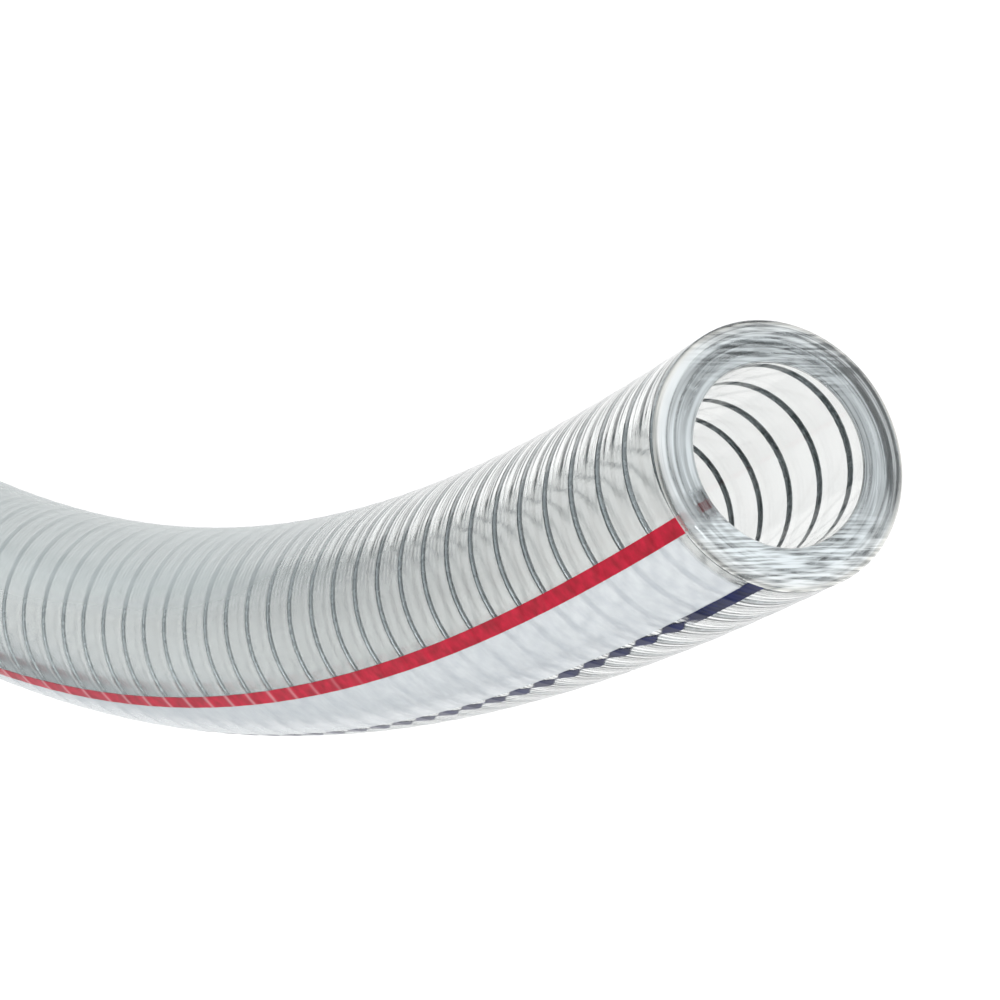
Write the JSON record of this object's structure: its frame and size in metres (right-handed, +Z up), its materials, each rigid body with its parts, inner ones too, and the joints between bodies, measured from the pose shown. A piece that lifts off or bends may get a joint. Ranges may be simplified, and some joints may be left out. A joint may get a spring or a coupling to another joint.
{
  "type": "pressure hose",
  "caption": "Clear flexible hose with a steel wire helix inside its thick wall and red, white and navy stripes; a short piece, cut square at both ends, lying flat in a half turn.",
  "frame": {"origin": "on the floor under the middle of the bounding box of the hose as it lies", "axes": "+Z up from the floor, through the hose's thinnest extent; both cut faces look along -X, and the half turn spans Y"},
  "size_m": [0.244, 0.2924, 0.022],
  "materials": {
    "clear_pvc": "clear, glossy, with a faint grey-green tint",
    "steel_wire": "plain drawn steel wire",
    "red_pvc": "glossy, opaque",
    "milky_pvc": "glossy, translucent white",
    "navy_pvc": "glossy, opaque"
  },
  "bodies": {
    "root": {"hose_wall": "clear_pvc", "wire_helix": "steel_wire", "red_stripe": "red_pvc", "white_band": "milky_pvc", "navy_stripe": "navy_pvc"}
  },
  "joints": []
}
